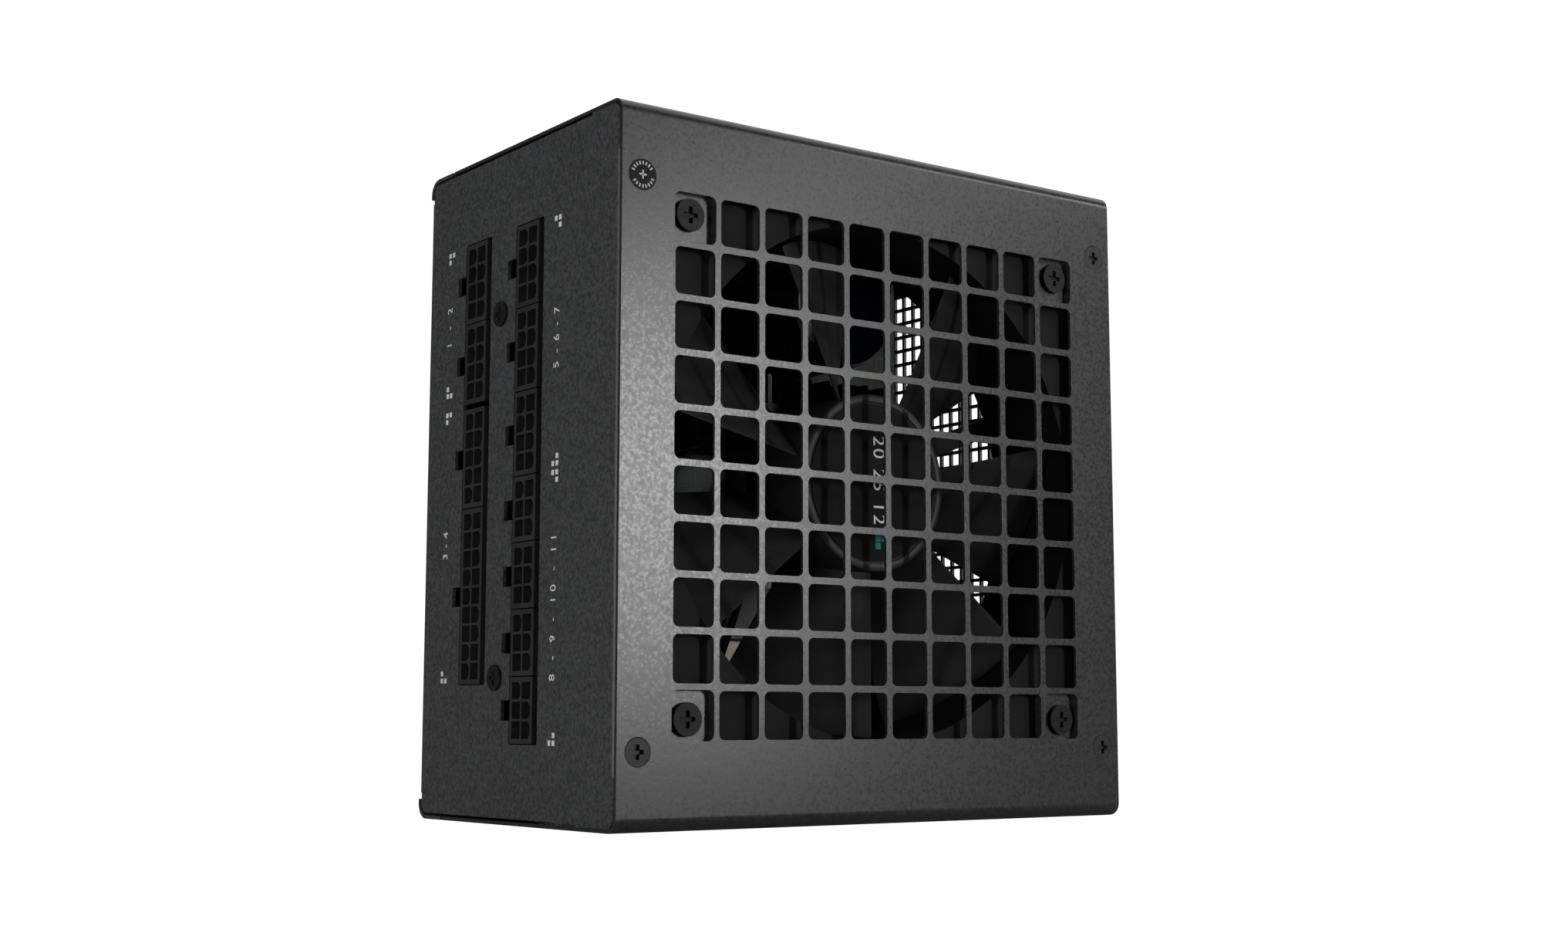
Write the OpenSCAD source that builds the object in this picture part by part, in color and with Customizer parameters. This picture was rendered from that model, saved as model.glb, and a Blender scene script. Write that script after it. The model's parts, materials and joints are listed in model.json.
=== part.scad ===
// Modular computer power supply unit with a 120 mm fan.
// It stands upright on one long side of its case.
// X runs from the socket panel to the mains panel, Y from the fan face to the base plate,
// and Z is up. The origin is the middle of the face that it stands on.

/* [Case] */
// Case width, the upright side of both end panels
case_w = 150; // [150:1:185]
// Case length from the socket panel to the mains panel
case_l = 140; // [140:1:175]
// Case height from the fan face to the base plate
case_h = 86; // [86:1:106]
// Thickness of the sheet steel
sheet_t = 0.8; // [0.7:0.02:1]
// Outer radius of the cover's two long bends
cover_bend_r = 3; // [2.4:0.1:3.4]
// Outer radius of the base's two long bends
base_bend_r = 3.5; // [2.8:0.1:4]
// Outer radius of the bends between base plate and end panels
end_bend_r = 1.5; // [1.3:0.1:1.8]
// Outer radius of the bend at each panel's screw flange
flange_bend_r = 1; // [0.9:0.05:1.2]
// Height of the base's side lips
lip_h = 10.8; // [8:0.2:13]
// Gap at the seam between cover sides and base lips
seam_gap = 0.8; // [0.4:0.1:1.2]
// Gap between an end panel's edges and the cover's sides
panel_gap = 0.6; // [0.4:0.05:0.8]
// Clearance between two sheets that lie on each other
lay_gap = 0.2; // [0.15:0.05:0.3]
// Reach of each end panel's screw flange under the fan face
flange_reach = 12; // [11:0.5:14]
// Distance of the screw flange's ends, and the panel's ears, from the case sides
ear_h = 11; // [9:0.5:11.2]
// Length of an ear from the fan face
ear_l = 11; // [8:0.5:13]
// Width of the relief notches beside the base plate's corners
notch_w = 1.4; // [1:0.1:2]

/* [Cover screws] */
// Distance of a cover screw from the end panel
cover_screw_in = 5; // [4.8:0.1:6]
// Distance of a cover screw from the case side
cover_screw_side = 16; // [16:0.5:20]
// Head radius of a cover screw
cover_head_r = 2.9; // [2.6:0.05:3]
// Thread radius of a cover screw
cover_thread_r = 1.5; // [1.3:0.05:1.6]
// Length of a cover screw
cover_screw_l = 6; // [5:0.5:8]

/* [Grille] */
// Cells along each side of the square grille
grille_n = 10; // [8:1:10]
// Width of one square cell
cell_w = 10; // [8:0.1:10]
// Width of the bars between the cells
bar_w = 1.5; // [1.2:0.1:1.5]
// Corner radius of a cell
cell_r = 1.3; // [0.6:0.1:2]
// Width of the pressed pad in each corner cell
pad_w = 10.4; // [9.6:0.1:10.6]
// Depth of the pads below the fan face
pad_depth = 1.9; // [1.6:0.05:2.3]

/* [Fan] */
// Side of the square fan frame
fan_w = 120; // [116:0.5:120]
// Depth of the fan frame
fan_depth = 25; // [24:0.5:30]
// Spacing of the fan's screw holes
fan_pitch = 105; // [104:0.1:105.2]
// Radius of the duct in the fan frame
duct_r = 57.5; // [56:0.1:57.8]
// Thickness of the fan frame's two flanges
fan_flange_t = 4; // [3:0.5:5]
// Radius of the rotor hub
hub_r = 20; // [19.6:0.1:22]
// Number of fan blades
blade_n = 7; // [5:1:9]
// Angle a blade sweeps from its front edge to its back edge
blade_sweep = 34; // [20:1:42]
// Thickness of a blade
blade_t = 1.8; // [1.2:0.1:2.2]
// Clearance between blade tips and duct
tip_gap = 1; // [0.6:0.1:2]
// Radius of the rotor shaft
shaft_r = 1.5; // [1.3:0.1:2]
// Running clearance between shaft and bearing
shaft_gap = 0.03; // [0.02:0.01:0.06]

/* [Socket panel] */
// Distance between neighbouring socket pins
pin_pitch = 4.2; // [3.5:0.05:4.3]
// Wall between neighbouring pin cavities
cavity_wall = 0.6; // [0.5:0.05:0.8]
// Depth of the pin cavities
cavity_depth = 9.5; // [8:0.5:11]
// Depth of the socket housings behind the panel face
socket_depth = 12.8; // [12:0.2:16]
// Distance of the first socket column's middle from the fan face
column_a_in = 39; // [37:0.5:40]
// Distance between the middles of the two socket columns
column_spacing = 23.6; // [22:0.1:25]
// Width of the latch slot on each column's fan side
slot_w = 2.4; // [1.6:0.1:3]
// Side of a square socket pin
pin_w = 1.1; // [0.9:0.05:1.2]

/* [Mains panel] */
// Side of one square vent hole
vent_w = 3; // [2:0.1:3]
// Bar between vent holes
vent_bar = 0.8; // [0.8:0.05:1.5]
// Rows of vent holes up the mains panel
vent_rows = 24; // [12:1:24]
// Columns of vent holes across the mains panel
vent_cols = 18; // [10:1:19]
// Radius of the case mounting holes, for a number 6-32 screw
mount_r = 1.75; // [1.6:0.01:1.9]
// Depth of the drawn collar round a mounting hole
mount_l = 2.4; // [2:0.1:4]
// Height of the inlet's and the switch's middle above the bottom side
mains_z = 27; // [25:0.5:29]
// Distance of the inlet's middle from the fan face
inlet_in = 43; // [41:0.5:45]
// Distance of the switch's middle from the fan face
switch_in = 69; // [65:0.5:69]
// Travel of the rocker in degrees
rocker_travel = 22; // [14:1:24]

/* [Boards] */
// Thickness of the circuit boards
board_t = 1.6; // [1:0.1:2]
// Height of the stand-offs under the main board
standoff_h = 6; // [4:0.5:8]
// Gap between the main board's edges and the case
board_gap = 4; // [3:0.5:6]
// Radius of the main filter capacitor
bulk_r = 15; // [12.5:0.5:18]
// Height of the main filter capacitor
bulk_h = 42; // [35:1:42]
// Height of the power heat sinks
sink_h = 38; // [30:1:40]

/* [Hidden] */
$fn = 64;

// Case planes
half_l = case_l / 2;
face_y = -case_h / 2;
back_y = case_h / 2;
mid_z = case_w / 2;
seam_y = back_y - lip_h;

// Fan planes, from the fan face inwards
fan_y0 = face_y + pad_depth + sheet_t + 0.1;
fan_y1 = fan_y0 + fan_depth;
hub_y0 = fan_y0 + 2.1;
hub_y1 = fan_y1 - 4.4;
plate_y0 = fan_y1 - 2.4;

// Board planes
bare_y = back_y - sheet_t;
board_y1 = bare_y - standoff_h;
board_y0 = board_y1 - board_t;
sock_x0 = -half_l + 0.1;
sock_board_x0 = sock_x0 + socket_depth;
sock_board_x1 = sock_board_x0 + board_t;
main_x0 = sock_board_x1 + 3;
main_x1 = half_l - board_gap;
main_z0 = board_gap;
main_z1 = case_w - board_gap;

// Grille
cell_pitch = cell_w + bar_w;
grille_first = -(grille_n - 1) / 2 * cell_pitch;
grille_half = -grille_first + pad_w / 2 + sheet_t + 0.8;
fan_screw_hole_r = 2.4;

// Sockets: rows of pins in each block from the top down, and the gap above each block
block_edge = 0.92;
block_play = 0.12;
column_top = mid_z + 55.9;
column_a = [[4, 0], [4, 0], [4, 0], [3, 0], [3, 0], [3, 0], [3, 0]];
column_b = [[4, 0], [4, 0], [5, 1], [9, 0]];
column_a_y = face_y + column_a_in;
column_b_y = column_a_y + column_spacing;
socket_w = 2 * pin_pitch + 1.4;
pin_in = 3;
notch_y = 3.7;
latch_z = 4.4;
latch_catch_w = 3.4;

// Cavity shapes from the top down, 1 for cut corners: high-Y column, then low-Y column
keys_3 = [[1, 0, 0], [0, 1, 1]];
keys_4 = [[1, 1, 0, 0], [0, 1, 1, 1]];
keys_5 = [[1, 0, 0, 1, 1], [0, 1, 1, 0, 0]];
keys_9 = [[1, 0, 0, 1, 1, 0, 0, 1, 1], [0, 1, 1, 0, 0, 1, 1, 0, 0]];

// Socket panel screws, as [distance from the fan face, height above the middle]
panel_screw_at = [[50.2, 37.2], [50.2, -43.5]];
panel_head_r = 2.85;

// Mains panel
inlet_y = face_y + inlet_in;
switch_y = face_y + switch_in;
vent_pitch = vent_w + vent_bar;
vent_y1 = back_y - 6.5;
vent_z1 = mid_z + 65.1;
// Mounting holes as [distance from the fan face, height above the bottom side]
mount_at = [
    [case_h - 6, 6], [case_h - 6, case_w - 6], [16, 6], [6, case_w - 30],
];

// Rocker
rocker_x = half_l - 1.5;
rocker_end = 8.6;
rocker_half_z = 5.7;

// ---------- shared shapes ----------

// A flat outline drawn as (Y, Z), made solid from x0 to x1
module along_x(x0, x1) {
    translate([x0, 0, 0]) rotate([90, 0, 90]) linear_extrude(x1 - x0) children();
}

// A flat outline drawn as (X, Z), made solid from y0 to y1
module along_y(y0, y1) {
    translate([0, y1, 0]) rotate([90, 0, 0]) linear_extrude(y1 - y0) children();
}

// A round rod along Y
module rod_y(x, z, r, y0, y1) {
    translate([x, y1, z]) rotate([90, 0, 0]) cylinder(r = r, h = y1 - y0);
}

// A round rod along X
module rod_x(y, z, r, x0, x1) {
    translate([x0, y, z]) rotate([0, 90, 0]) cylinder(r = r, h = x1 - x0);
}

// A box between two corners
module block(a, b) {
    translate(a) cube(b - a);
}

// A rectangle with rounded corners, centred
module soft_rect(w, h, r, n = 5) {
    polygon([
        for (q = [0:3]) for (i = [0:n])
            let (a = 90 * q + 90 * i / n, sx = (q == 0 || q == 3) ? 1 : -1, sy = q < 2 ? 1 : -1)
            [sx * (w / 2 - r) + r * cos(a), sy * (h / 2 - r) + r * sin(a)]
    ]);
}

// A rectangle from corner a to corner b with rounded corners
module soft_rect_at(a, b, r) {
    translate((a + b) / 2) soft_rect(b[0] - a[0], b[1] - a[1], r);
}

// A quarter of a sheet's bend, in the first quadrant round the bend's centre
module quarter_ring(r) {
    difference() {
        intersection() {
            circle(r);
            square(r);
        }
        circle(r - sheet_t);
    }
}

// Two thin slots that cross, the drive of a screw, cut from the head's top down
module cross_slot(w, depth) {
    for (a = [0, 90]) rotate([0, 0, a]) translate([-w / 2, -0.45, -depth]) cube([w, 0.9, depth + 1]);
}

// Sets a part on the main board: local Z is the height above the board, local Y is up
module on_board(x, z) {
    translate([x, board_y0, z]) rotate([90, 0, 0]) children();
}

// The point at share t of a smooth curve through four points, between the middle two
function curve_at(a, b, c, d, t) =
    0.5 * (2 * b + (c - a) * t + (2 * a - 5 * b + 4 * c - d) * t * t + (3 * b - a - 3 * c + d) * t * t * t);

// Rings of points along a smooth curve through the points
function smooth_route(p, steps) = [
    for (i = [0:len(p) - 2], k = [0:steps - 1])
        curve_at(p[max(i - 1, 0)], p[i], p[i + 1], p[min(i + 2, len(p) - 1)], k / steps),
    p[len(p) - 1],
];

// A round wire swept along a smooth curve through the points
module wire(points, r, steps = 4, sides = 8) {
    route = smooth_route(points, steps);
    last = len(route) - 1;
    rings = [
        for (i = [0:last])
            let (
                d = route[min(i + 1, last)] - route[max(i - 1, 0)],
                t = d / norm(d),
                u0 = cross(t, [0.31, 0.23, 0.92]),
                u = u0 / norm(u0),
                v = cross(t, u)
            )
            for (k = [0:sides - 1]) route[i] + r * (cos(360 * k / sides) * u + sin(360 * k / sides) * v)
    ];
    polyhedron(rings, concat(
        [[for (k = [0:sides - 1]) k]],
        [[for (k = [sides - 1:-1:0]) last * sides + k]],
        [for (i = [0:last - 1], k = [0:sides - 1])
            let (a = i * sides, b = a + sides, n = (k + 1) % sides)
                [a + k, b + k, b + n, a + n]]
    ));
}

// ---------- case ----------

cover_screw_x = half_l - cover_screw_in;
cover_dimple_r = cover_head_r + 0.7;
cover_dimple_d = 1.8;

module at_cover_screws() {
    for (x = [-cover_screw_x, cover_screw_x], z = [cover_screw_side, case_w - cover_screw_side])
        translate([x, 0, z]) children();
}

module at_fan_screws() {
    for (x = [-1, 1], z = [-1, 1])
        translate([x * fan_pitch / 2, 0, mid_z + z * fan_pitch / 2]) children();
}

function is_corner(i, k) = (i == 0 || i == grille_n - 1) && (k == 0 || k == grille_n - 1);

// The grille's open cells, as (X, Z)
module at_cells() {
    for (i = [0:grille_n - 1], k = [0:grille_n - 1])
        if (!is_corner(i, k))
            translate([grille_first + i * cell_pitch, mid_z + grille_first + k * cell_pitch])
                children();
}

module cover_profile() {
    translate([face_y, cover_bend_r]) square([sheet_t, case_w - 2 * cover_bend_r]);
    for (side = [0, 1])
        translate([0, side * case_w]) mirror([0, side]) {
            translate([face_y + cover_bend_r, cover_bend_r]) rotate(180) quarter_ring(cover_bend_r);
            translate([face_y + cover_bend_r, 0])
                square([seam_y - seam_gap - face_y - cover_bend_r, sheet_t]);
        }
}

module pad_outline(w) {
    for (x = [-1, 1], z = [-1, 1])
        translate([x * grille_first, mid_z + z * grille_first]) soft_rect(w, w, cell_r + (w - cell_w) / 2);
}

// The square that the grille fills in the cover's fan face
module grille_square(y0, y1) {
    along_y(y0, y1) translate([0, mid_z]) square(2 * grille_half, center = true);
}

module fan_cover() {
    color("dimgray") difference() {
        union() {
            along_x(-half_l, half_l) cover_profile();
            at_cover_screws() rod_y(0, 0, cover_dimple_r, face_y, face_y + cover_dimple_d);
        }
        grille_square(face_y - 1, face_y + sheet_t + 0.5);
        at_cover_screws() {
            translate([0, face_y - 0.01, 0]) rotate([-90, 0, 0])
                cylinder(r1 = cover_head_r + 0.15, r2 = cover_thread_r + 0.2, h = 1.5);
            rod_y(0, 0, cover_thread_r + 0.2, face_y, face_y + 3);
        }
    }
}

// The punched middle of the fan face, with the pads for the fan's screws
module fan_grille() {
    color("dimgray") difference() {
        union() {
            difference() {
                grille_square(face_y, face_y + sheet_t);
                along_y(face_y - 1, face_y + sheet_t + 0.5)
                    at_cells() soft_rect(cell_w, cell_w, cell_r);
            }
            along_y(face_y, face_y + pad_depth + sheet_t) pad_outline(pad_w + 2 * sheet_t);
        }
        along_y(face_y - 1, face_y + pad_depth) pad_outline(pad_w);
        at_fan_screws() rod_y(0, 0, fan_screw_hole_r, face_y - 1, face_y + pad_depth + 2);
    }
}

// Outline of an end panel as (Y, Z)
module panel_outline() {
    y0 = face_y + sheet_t + lay_gap;
    y1 = back_y - end_bend_r;
    edge = sheet_t + panel_gap;
    translate([y0 + flange_bend_r, edge]) square([y1 - y0 - flange_bend_r - 10, case_w - 2 * edge]);
    soft_rect_at([0, edge], [y1, case_w - edge], base_bend_r - sheet_t - 0.5);
    for (side = [0, 1])
        translate([0, side * case_w]) mirror([0, side]) intersection() {
            soft_rect_at([y0, sheet_t + 0.12], [y0 + 2 * ear_l, 3 * ear_h], cover_bend_r - sheet_t + 0.2);
            translate([y0, 0]) square([ear_l, ear_h]);
        }
}

// Base plate's width between its corner notches
plate_z0 = base_bend_r + notch_w + 0.9;

module long_edge_profile() {
    translate([back_y - base_bend_r, base_bend_r]) rotate(-90) quarter_ring(base_bend_r);
    translate([seam_y, 0]) square([back_y - base_bend_r - seam_y, sheet_t]);
    translate([back_y - sheet_t, base_bend_r]) square([sheet_t, plate_z0 - notch_w - base_bend_r]);
}

// End panel, bends and flange at the +X end; mirrored for the other end
module end_panel() {
    y0 = face_y + sheet_t + lay_gap;
    along_x(half_l - sheet_t, half_l) panel_outline();
    // Bend to the base plate
    translate([half_l - end_bend_r, back_y - end_bend_r, plate_z0])
        linear_extrude(case_w - 2 * plate_z0) quarter_ring(end_bend_r);
    // Bend and flange under the fan face
    translate([half_l - flange_bend_r, y0 + flange_bend_r, ear_h])
        linear_extrude(case_w - 2 * ear_h) rotate(-90) quarter_ring(flange_bend_r);
    difference() {
        union() {
            block(
                [half_l - flange_reach, y0, ear_h],
                [half_l - flange_bend_r, y0 + sheet_t, case_w - ear_h]
            );
            flange_cups(cover_dimple_r + 1, y0 + 0.3, y0 + 1.7);
        }
        flange_cups(cover_dimple_r + 0.2, y0 - 1, face_y + cover_dimple_d + 0.1);
        flange_cups(cover_thread_r + 0.03, y0, y0 + 5);
    }
}

module flange_cups(r, y0, y1) {
    for (z = [cover_screw_side, case_w - cover_screw_side]) rod_y(cover_screw_x, z, r, y0, y1);
}

function block_h(rows) = rows * pin_pitch + 2 * block_edge;
function block_top(column, i) =
    i == 0
        ? column_top - column[0][1]
        : block_top(column, i - 1) - block_h(column[i - 1][0]) - column[i][1];
function column_bottom(column) =
    block_top(column, len(column) - 1) - block_h(column[len(column) - 1][0]);

module column_cutout(column, y) {
    soft_rect_at([y - socket_w / 2 - slot_w, column_bottom(column) - 0.1],
        [y + socket_w / 2 + 0.1, column_top + 0.1], 0.6);
    for (i = [0:len(column) - 1])
        translate([y + socket_w / 2 - 0.3, block_top(column, i) - block_h(column[i][0]) / 2 - latch_z / 2])
            square([notch_y + 0.3, latch_z]);
}

// A vent hole is kept only where it leaves the mounting collars whole
function vent_clear(y, z) =
    min([for (m = mount_at) norm([face_y + m[0] - y, m[1] - z])]) > mount_r + vent_pitch;

module vent_field() {
    for (i = [0:vent_cols - 1], k = [0:vent_rows - 1]) {
        y = vent_y1 - i * vent_pitch;
        z = vent_z1 - k * vent_pitch;
        if (vent_clear(y, z)) translate([y, z]) square(vent_w, center = true);
    }
}

module base_shell() {
    color("dimgray") difference() {
        union() {
            block([-half_l + end_bend_r, back_y - sheet_t, plate_z0 - notch_w],
                [half_l - end_bend_r, back_y, case_w - plate_z0 + notch_w]);
            for (side = [0, 1])
                translate([0, 0, side * case_w]) mirror([0, 0, side])
                    along_x(-half_l, half_l) long_edge_profile();
            end_panel();
            mirror([1, 0, 0]) end_panel();
            for (m = mount_at)
                rod_x(face_y + m[0], m[1], mount_r + 1.1, half_l - mount_l, half_l - sheet_t / 2);
        }
        along_x(half_l - sheet_t - 0.5, half_l + 0.5) {
            vent_field();
            translate([inlet_y, mains_z]) soft_rect(20.4, 28, 1);
            translate([switch_y, mains_z]) soft_rect(13.4, 19.8, 0.6);
        }
        for (m = mount_at) rod_x(face_y + m[0], m[1], mount_r, half_l - mount_l - 1, half_l + 1);
        along_x(-half_l - 0.5, -half_l + sheet_t + 0.5) {
            column_cutout(column_a, column_a_y);
            column_cutout(column_b, column_b_y);
            for (s = panel_screw_at) translate([face_y + s[0], mid_z + s[1]]) circle(1.7);
        }
        // Tapped holes for the stand-offs' rivet ends
        for (s = standoff_at) rod_y(s[0], s[1], 1.3, back_y - 1.5, back_y + 1);
    }
}

// A thin round label over the upper screw at the socket end
module seal_sticker() {
    color("#141414") rod_y(-cover_screw_x, case_w - cover_screw_side, 3.3, face_y - 0.12, face_y - 0.02);
}

module cover_screws() {
    color("gray") at_cover_screws() translate([0, face_y + 0.05, 0]) rotate([-90, 0, 0]) difference() {
        union() {
            cylinder(r1 = cover_head_r, r2 = cover_thread_r, h = 1.35);
            cylinder(r = cover_thread_r, h = cover_screw_l);
        }
        mirror([0, 0, 1]) cross_slot(3, 0.9);
    }
}

module fan_screws() {
    y = face_y + pad_depth;
    color("silver") at_fan_screws() {
        difference() {
            rod_y(0, 0, 3.5, y - 1.1, y);
            translate([0, y - 1.1, 0]) rotate([90, 0, 0]) cross_slot(3.6, 0.75);
        }
        rod_y(0, 0, 2.1, y, y + 11);
    }
}

// ---------- fan ----------

module fan_square(y0, y1) {
    along_y(y0, y1) difference() {
        translate([0, mid_z]) soft_rect(fan_w, fan_w, 5);
        translate([0, mid_z]) circle(duct_r, $fn = 120);
        for (x = [-1, 1], z = [-1, 1])
            translate([x * fan_pitch / 2, mid_z + z * fan_pitch / 2]) circle(2.15);
    }
}

module fan_frame() {
    color("#26282b") {
        fan_square(fan_y0, fan_y0 + fan_flange_t);
        fan_square(fan_y1 - fan_flange_t, fan_y1);
        along_y(fan_y0 + fan_flange_t, fan_y1 - fan_flange_t) translate([0, mid_z]) difference() {
            union() {
                circle(duct_r + 1.6, $fn = 120);
                for (x = [-1, 1], z = [-1, 1])
                    translate([x * fan_pitch / 2, z * fan_pitch / 2]) circle(4.6);
            }
            circle(duct_r, $fn = 120);
            for (x = [-1, 1], z = [-1, 1])
                translate([x * fan_pitch / 2, z * fan_pitch / 2]) circle(2.15);
        }
        // Motor plate on four slanted arms
        along_y(plate_y0, fan_y1) translate([0, mid_z]) difference() {
            union() {
                circle(hub_r - 1);
                for (a = [20:90:290]) rotate(a) translate([10, -2.2]) square([duct_r - 9.6, 4.4]);
            }
            circle(bearing_r + 0.02);
            translate(lead_hole) circle(2.4);
        }
        // Bearing tube
        along_y(fan_y1 - 18, plate_y0) translate([0, mid_z]) difference() {
            circle(tube_r);
            circle(bearing_r + 0.02);
        }
    }
}

lead_hole = [-10.8, -4];
bearing_r = shaft_r + 1.6;
tube_r = bearing_r + 1.1;
yoke_r = hub_r - 1.9;
magnet_r = yoke_r - 0.9;
stator_r = magnet_r - 2.2;

module fan_bearing() {
    color("#b08d57") along_y(fan_y1 - 17.5, fan_y1 - 3) translate([0, mid_z]) difference() {
        circle(bearing_r);
        circle(shaft_r + shaft_gap);
    }
}

module rotor_shaft() {
    color("silver") difference() {
        rod_y(0, mid_z, shaft_r, hub_y0 + 2.2, fan_y1 - 1.4);
        along_y(fan_y1 - 2.6, fan_y1 - 2.2) translate([0, mid_z]) difference() {
            circle(shaft_r + 1);
            circle(shaft_r - 0.35);
        }
    }
}

// Snap ring in the groove at the shaft's end
module shaft_clip() {
    color("silver") along_y(fan_y1 - 2.58, fan_y1 - 2.22) translate([0, mid_z]) difference() {
        circle(shaft_r + 1);
        circle(shaft_r - 0.33);
        translate([-0.8, -4]) square([1.6, 4]);
    }
}

module fan_rotor() {
    color("#1d1f22") {
        translate([0, 0, mid_z]) rotate([-90, 0, 0]) rotate_extrude($fn = 120) polygon([
            [0, hub_y0 + 0.4], [hub_r - 2, hub_y0 + 0.4], [hub_r - 2, hub_y0], [hub_r - 0.6, hub_y0],
            [hub_r, hub_y0 + 0.6], [hub_r, hub_y1], [yoke_r, hub_y1], [yoke_r, hub_y0 + 2],
            [4.4, hub_y0 + 2], [4.4, hub_y0 + 4], [shaft_r, hub_y0 + 4], [shaft_r, hub_y0 + 2.2],
            [0, hub_y0 + 2.2],
        ]);
        // Blades: their front edges stand near the hub's face and they sweep back clockwise
        for (i = [0:blade_n - 1])
            translate([0, hub_y1 - 0.4, mid_z])
                rotate([90, 0, 0]) rotate(-90 - blade_sweep + 360 * i / blade_n)
                linear_extrude(hub_y1 - hub_y0 - 2.2, twist = -blade_sweep, slices = 14, segments = 5)
                    blade_outline();
    }
}

module blade_outline() {
    tip = duct_r - tip_gap;
    polygon([
        [hub_r - 0.8, -blade_t / 2], [tip - 2, -blade_t / 2 + 0.3], [tip, 0],
        [tip - 2, blade_t / 2 - 0.3], [hub_r - 0.8, blade_t / 2],
    ]);
}

// Printed disc in the hub's recess
module hub_badge() {
    color("#17181a") rod_y(0, mid_z, hub_r - 2.3, hub_y0 + 0.1, hub_y0 + 0.4);
}

module rotor_yoke() {
    color("silver") along_y(hub_y0 + 2.4, hub_y1 - 0.5) translate([0, mid_z]) difference() {
        circle(yoke_r);
        circle(magnet_r);
    }
}

module rotor_magnet() {
    color("#3a3a3a") along_y(hub_y0 + 4, hub_y1 - 0.8) translate([0, mid_z]) difference() {
        circle(magnet_r);
        circle(magnet_r - 1.7);
    }
}

// Four-pole laminated core
stator_y0 = fan_y1 - 14.5;
stator_y1 = fan_y1 - 8.5;

module fan_stator() {
    color("#8d9196") along_y(stator_y0, stator_y1) translate([0, mid_z]) difference() {
        union() {
            circle(tube_r + 2);
            for (a = [0:90:270]) rotate(a) {
                translate([0, -2]) square([stator_r - 1, 4]);
                intersection() {
                    difference() {
                        circle(stator_r);
                        circle(stator_r - 2);
                    }
                    translate([4, -8]) square([stator_r, 16]);
                }
            }
        }
        circle(tube_r + 0.02);
    }
}

module fan_coils() {
    r0 = tube_r + 2.3;
    r1 = stator_r - 2.6;
    color("#b5651d") for (a = [0:90:270])
        translate([0, 0, mid_z]) rotate([0, a, 0]) difference() {
            block([r0, stator_y0 - 1.6, -3.6], [r1, stator_y1 + 1.6, 3.6]);
            block([0, stator_y0 - 0.02, -2.02], [stator_r, stator_y1 + 0.02, 2.02]);
        }
}

module fan_board() {
    color("#1f5c3a") along_y(plate_y0 - 1.4, plate_y0 - 0.2) translate([0, mid_z]) difference() {
        circle(stator_r - 1);
        circle(tube_r + 0.05);
    }
}

// Two leads from the fan's board through the motor plate and down to the main board
module fan_lead() {
    start = [lead_hole[0], fan_y1 - 2.6, mid_z + lead_hole[1]];
    color("#111111") for (s = [-0.67, 0.67]) translate([s, 0, -s])
        wire([
            start, start + [0, 3.4, -0.3], start + [-2.5, 4.4, -2.5], [-21, fan_y1 + 2, mid_z - 28],
            [-28, fan_y1 + 5, mid_z - 47], [-30, board_y0 - 30, mid_z - 54], [-30, board_y0, mid_z - 55],
        ], 0.8, 4);
}

// ---------- sockets ----------

// Outline of one pin cavity, with its low-Y corners cut when keyed
module cavity(keyed) {
    w = (pin_pitch - cavity_wall) / 2;
    c = keyed ? 0.9 : 0.1;
    polygon([[w, -w], [w, w], [-w + c, w], [-w, w - c], [-w, -w + c], [-w + c, -w]]);
}

module at_pins(rows, keys) {
    for (side = [0, 1], i = [0:rows - 1])
        translate([(0.5 - side) * pin_pitch, -block_edge - (i + 0.5) * pin_pitch])
            let ($keyed = keys[side][i] == 1) children();
}

// One housing: its origin is the top of its block on the column's middle line
module housing(rows, keys) {
    h = block_h(rows) - 2 * block_play;
    along_x(sock_x0, sock_x0 + cavity_depth) difference() {
        translate([-socket_w / 2, -block_play - h]) square([socket_w, h]);
        at_pins(rows, keys) cavity($keyed);
    }
    along_x(sock_x0 + cavity_depth, sock_board_x0) difference() {
        translate([-socket_w / 2, -block_play - h]) square([socket_w, h]);
        at_pins(rows, keys) square(pin_w + 0.1, center = true);
    }
    // Latch catch behind the panel's notch
    translate([0, 0, -block_h(rows) / 2])
        along_x(sock_x0 + 3, sock_x0 + 6)
            translate([socket_w / 2, -latch_catch_w / 2]) square([1.6, latch_catch_w]);
}

module housings_in(column, y, rows, keys) {
    for (i = [0:len(column) - 1])
        if (column[i][0] == rows) translate([0, y, block_top(column, i)]) housing(rows, keys);
}

module sockets_8pin() {
    color("#1b1c1e") {
        housings_in(column_a, column_a_y, 4, keys_4);
        housings_in(column_b, column_b_y, 4, keys_4);
    }
}

module sockets_6pin() {
    color("#1b1c1e") housings_in(column_a, column_a_y, 3, keys_3);
}

module socket_10pin() {
    color("#1b1c1e") housings_in(column_b, column_b_y, 5, keys_5);
}

module socket_18pin() {
    color("#1b1c1e") housings_in(column_b, column_b_y, 9, keys_9);
}

module pins_in(column, y) {
    for (i = [0:len(column) - 1])
        translate([0, y, block_top(column, i)])
            for (side = [-0.5, 0.5], k = [0:column[i][0] - 1])
                translate([sock_x0 + pin_in, side * pin_pitch, -block_edge - (k + 0.5) * pin_pitch])
                    translate([0, -pin_w / 2, -pin_w / 2]) cube([socket_depth - pin_in, pin_w, pin_w]);
}

module socket_pins() {
    color("goldenrod") {
        pins_in(column_a, column_a_y);
        pins_in(column_b, column_b_y);
    }
}

module socket_board() {
    y0 = fan_y1 + 1.2;
    color("#1f5c3a") along_x(sock_board_x0, sock_board_x1) difference() {
        translate([y0, board_gap + 4]) square([board_y1 - y0, case_w - 2 * board_gap - 8]);
        for (s = panel_screw_at) translate([face_y + s[0], mid_z + s[1]]) circle(1.6);
    }
}

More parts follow.
